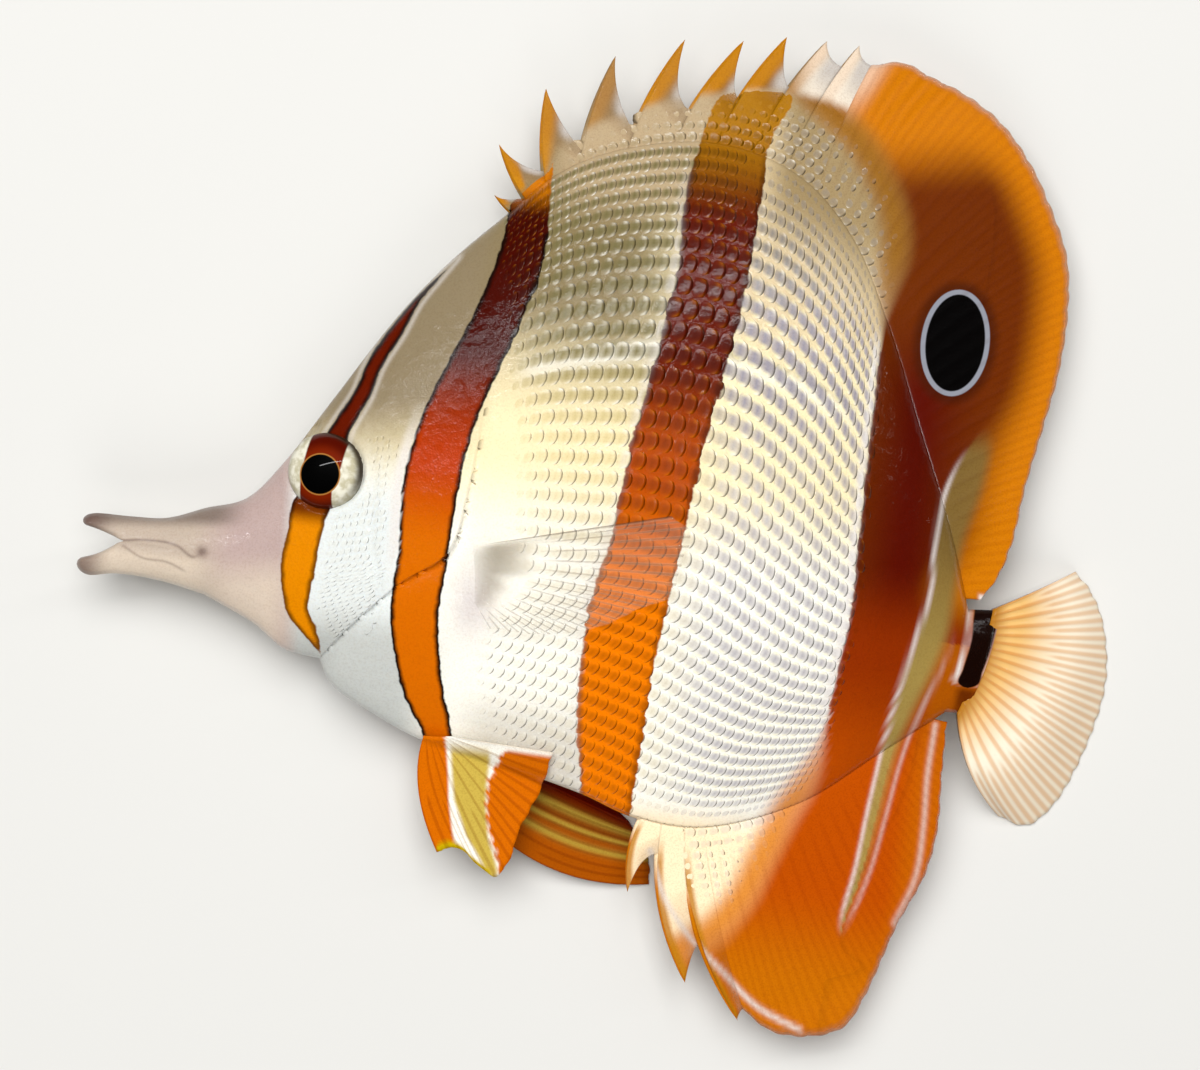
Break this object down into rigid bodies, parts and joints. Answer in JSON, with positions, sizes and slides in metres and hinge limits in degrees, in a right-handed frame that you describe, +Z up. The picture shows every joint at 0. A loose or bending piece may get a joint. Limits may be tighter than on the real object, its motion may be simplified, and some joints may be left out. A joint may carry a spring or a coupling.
{
  "type": "copperband butterflyfish",
  "caption": "Life-size copperband butterflyfish lying on its right side with its fins spread, as a still natural history model.",
  "frame": {"origin": "on the surface the fish lies on, under the middle of its outline", "axes": "+X from the snout towards the tail fin, +Y towards the dorsal fin, +Z up, out of the left flank"},
  "size_m": [0.0988, 0.0937, 0.0147],
  "materials": {
    "skin": "wet scaled skin, silver-white with orange-brown bands",
    "snout": "wet smooth skin, grey-pink",
    "eye": "clear wet cornea over a silver iris and a black pupil",
    "fin_orange": "thin wet fin skin, orange",
    "fin_brown": "thin wet fin skin, brown with an orange edge",
    "fin_clear": "thin clear fin skin with pale rays"
  },
  "bodies": {
    "root": {"head": "skin", "upper_jaw": "snout", "lower_jaw": "snout", "torso": "skin", "tail_root": "skin", "eye_left": "eye", "eye_right": "eye", "dorsal_spines": "fin_orange", "dorsal_soft": "fin_brown", "anal_spines": "fin_orange", "anal_soft": "fin_orange", "caudal_fin": "fin_clear", "pectoral_fin_left": "fin_clear", "pectoral_fin_right": "fin_clear", "pelvic_fin_left": "fin_orange", "pelvic_fin_right": "fin_orange"}
  },
  "joints": []
}
